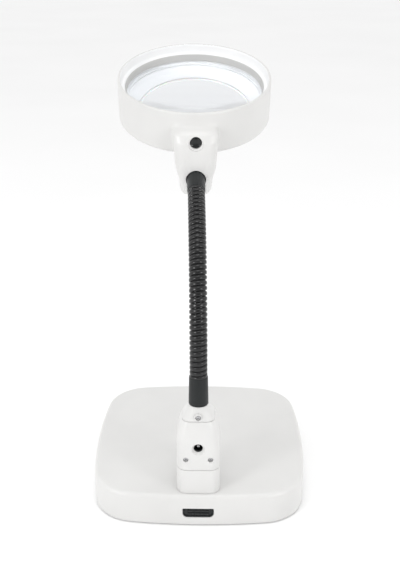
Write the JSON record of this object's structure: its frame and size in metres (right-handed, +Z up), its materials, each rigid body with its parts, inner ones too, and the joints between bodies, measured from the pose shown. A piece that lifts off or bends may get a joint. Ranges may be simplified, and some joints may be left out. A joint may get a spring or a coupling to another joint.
{
  "type": "stand magnifier",
  "caption": "Round lens in a lit ring head on a flexible neck, standing on a weighted base.",
  "frame": {"origin": "underside of the base, at its centre", "axes": "+Z up, +Y towards the reader, -Y to the rear where the column stands"},
  "size_m": [0.15, 0.216, 0.2893],
  "materials": {
    "white_plastic": "satin moulded ABS",
    "inner_white": "matt white plastic",
    "black_plastic": "glossy black plastic",
    "collar_black": "matt black sleeve",
    "neck_black": "black coated wound steel",
    "mat_rubber": "matt rubber",
    "steel": "zinc plated",
    "lens_glass": "polished clear",
    "diffuser": "frosted translucent",
    "led": "LED package",
    "board_green": "solder-mask green"
  },
  "bodies": {
    "base": {"base_cover": "white_plastic", "base_plate": "white_plastic", "ballast_plate": "steel", "non_slip_mat": "mat_rubber", "base_screw_1": "steel", "base_screw_2": "steel", "base_screw_3": "steel", "base_screw_4": "steel", "spring_stop": "inner_white", "latch_spring": "steel", "column_foot": "white_plastic", "column_rear_shell": "white_plastic", "column_front_shell": "white_plastic", "column_screw_1": "steel", "column_screw_2": "steel", "power_inlet": "black_plastic", "power_inlet_pin": "steel", "circuit_board": "board_green", "push_switch": "black_plastic", "column_cap": "white_plastic", "cap_screw": "steel", "lower_collar": "collar_black", "collar_nut": "steel"},
    "release": {"release_button": "black_plastic", "release_latch": "inner_white"},
    "power": {"power_button": "black_plastic"},
    "link_01": {"neck_link_01": "neck_black"},
    "link_02": {"neck_link_02": "neck_black"},
    "link_03": {"neck_link_03": "neck_black"},
    "link_04": {"neck_link_04": "neck_black"},
    "link_05": {"neck_link_05": "neck_black"},
    "link_06": {"neck_link_06": "neck_black"},
    "link_07": {"neck_link_07": "neck_black"},
    "link_08": {"neck_link_08": "neck_black"},
    "link_09": {"neck_link_09": "neck_black"},
    "link_10": {"neck_link_10": "neck_black"},
    "link_11": {"neck_link_11": "neck_black"},
    "head": {"lens_housing": "white_plastic", "neck_screw_plug": "black_plastic", "neck_cover": "white_plastic", "upper_collar": "collar_black", "magnifying_lens": "lens_glass", "lens_retaining_ring": "inner_white", "inner_skirt": "inner_white", "led_board": "inner_white", "led_01": "led", "led_02": "led", "led_03": "led", "led_04": "led", "led_05": "led", "led_06": "led", "led_07": "led", "led_08": "led", "led_09": "led", "led_10": "led", "led_11": "led", "led_12": "led", "diffuser_ring": "diffuser", "bottom_bezel": "white_plastic"}
  },
  "joints": [
    {"name": "lower_sway", "type": "hinge", "parent": "base", "child": "link_01", "pos_m": [0, -0.058, 0.1109], "axis": [-0.0384, 0.9993, 0], "range_deg": [-12, 12]},
    {"name": "lower_bend", "type": "hinge", "parent": "link_01", "child": "link_02", "pos_m": [0, -0.058, 0.1219], "axis": [-0.9993, -0.0384, 0], "range_deg": [-32, 7]},
    {"name": "lower_sway_2", "type": "hinge", "parent": "link_02", "child": "link_03", "pos_m": [-0.00009, -0.05568, 0.13265], "axis": [-0.0375, 0.9768, -0.2108], "range_deg": [-12, 12]},
    {"name": "lower_bend_2", "type": "hinge", "parent": "link_03", "child": "link_04", "pos_m": [-0.00018, -0.05337, 0.14341], "axis": [-0.9993, -0.0384, 0], "range_deg": [-32, 7]},
    {"name": "lower_sway_3", "type": "hinge", "parent": "link_04", "child": "link_05", "pos_m": [-0.00035, -0.04884, 0.15343], "axis": [-0.035, 0.9105, -0.412], "range_deg": [-12, 12]},
    {"name": "lower_bend_3", "type": "hinge", "parent": "link_05", "child": "link_06", "pos_m": [-0.00053, -0.04431, 0.16345], "axis": [-0.9993, -0.0384, 0], "range_deg": [-32, 7]},
    {"name": "upper_sway", "type": "hinge", "parent": "link_06", "child": "link_07", "pos_m": [-0.00078, -0.03777, 0.17229], "axis": [-0.0309, 0.8033, -0.5948], "range_deg": [-12, 12]},
    {"name": "upper_bend", "type": "hinge", "parent": "link_07", "child": "link_08", "pos_m": [-0.00103, -0.03123, 0.18114], "axis": [-0.9993, -0.0384, 0], "range_deg": [-32, 7]},
    {"name": "upper_sway_2", "type": "hinge", "parent": "link_08", "child": "link_09", "pos_m": [-0.00135, -0.02298, 0.1884], "axis": [-0.0254, 0.66, -0.7509], "range_deg": [-12, 12]},
    {"name": "upper_bend_2", "type": "hinge", "parent": "link_09", "child": "link_10", "pos_m": [-0.00166, -0.01473, 0.19567], "axis": [-0.9993, -0.0384, 0], "range_deg": [-32, 7]},
    {"name": "upper_sway_3", "type": "hinge", "parent": "link_10", "child": "link_11", "pos_m": [-0.00203, -0.00513, 0.20103], "axis": [-0.0187, 0.487, -0.8732], "range_deg": [-12, 12]},
    {"name": "upper_bend_3", "type": "hinge", "parent": "link_11", "child": "head", "pos_m": [-0.0024, 0.00447, 0.20639], "axis": [-0.9993, -0.0384, 0], "range_deg": [-32, 7]},
    {"name": "release_press", "type": "slide", "parent": "base", "child": "release", "axis": [0, 1, 0], "range_m": [0, 0.002], "stiffness_N_per_m": 800, "springref_m": -0.0005, "deforming": ["latch_spring"]},
    {"name": "power_press", "type": "slide", "parent": "base", "child": "power", "axis": [0, -1, 0], "range_m": [0, 0.001], "stiffness_N_per_m": 1500, "springref_m": -0.0002}
  ],
  "couplings": [
    {"joint": "lower_sway_2", "follows": "lower_sway", "ratio": 1},
    {"joint": "lower_bend_2", "follows": "lower_bend", "ratio": 1},
    {"joint": "lower_sway_3", "follows": "lower_sway", "ratio": 1},
    {"joint": "lower_bend_3", "follows": "lower_bend", "ratio": 1},
    {"joint": "upper_sway_2", "follows": "upper_sway", "ratio": 1},
    {"joint": "upper_bend_2", "follows": "upper_bend", "ratio": 1},
    {"joint": "upper_sway_3", "follows": "upper_sway", "ratio": 1},
    {"joint": "upper_bend_3", "follows": "upper_bend", "ratio": 1}
  ]
}
